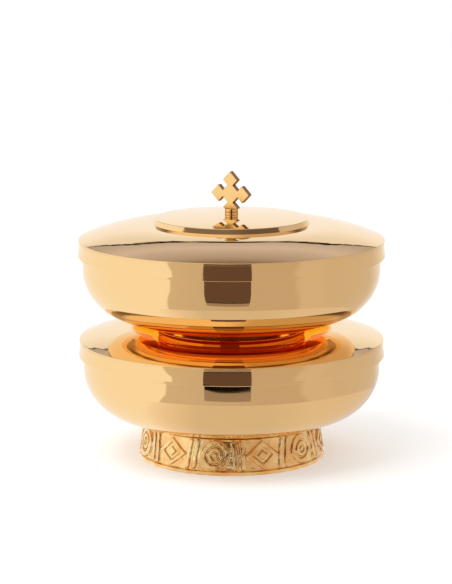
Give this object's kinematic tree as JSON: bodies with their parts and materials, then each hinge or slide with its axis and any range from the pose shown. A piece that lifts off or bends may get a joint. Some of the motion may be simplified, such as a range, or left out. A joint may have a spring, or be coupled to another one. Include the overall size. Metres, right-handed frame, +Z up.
{
  "type": "stacking ciborium",
  "caption": "Round covered vessel of stacked shallow bowls on a cast ring foot, each closed by a skirted cover, with a low domed lid and a small flat cross on top.",
  "frame": {"origin": "centre of the foot's base, on the surface it stands on", "axes": "+Z up along the vessel's axis; the flat cross lies in the XZ plane"},
  "size_m": [0.1608, 0.1608, 0.1505],
  "materials": {
    "bowl_gilt": "gold plate on spun brass, mirror polished",
    "cover_gilt": "gold plate on spun brass, mirror polished",
    "cast_gilt": "gold plate on cast brass, polished on the relief and darker in its hollows",
    "cross_gilt": "gold plate on brass, satin",
    "turned_brass": "turned brass, unplated"
  },
  "bodies": {
    "base": {"foot_ring": "cast_gilt", "foot_web": "turned_brass", "lower_bowl": "bowl_gilt", "base_stud": "turned_brass", "base_washer": "turned_brass", "base_nut": "turned_brass"},
    "upper_tier": {"cover_shell": "cover_gilt", "cover_bearing_ring": "turned_brass", "seat_ring": "cover_gilt", "seat_spacer": "turned_brass", "upper_bowl": "bowl_gilt", "tier_stud": "turned_brass", "tier_washer": "turned_brass", "tier_nut": "turned_brass"},
    "lid": {"lid_shell": "cover_gilt", "lid_bearing_ring": "turned_brass", "lid_disc": "cover_gilt", "lid_collar": "cross_gilt", "lid_cross": "cross_gilt", "lid_washer": "turned_brass", "lid_nut": "turned_brass"}
  },
  "joints": [
    {"name": "upper_tier_lift", "type": "slide", "parent": "base", "child": "upper_tier", "axis": [0, 0, 1], "range_m": [0, 0.1]},
    {"name": "lid_lift", "type": "slide", "parent": "upper_tier", "child": "lid", "axis": [0, 0, 1], "range_m": [0, 0.08]}
  ]
}
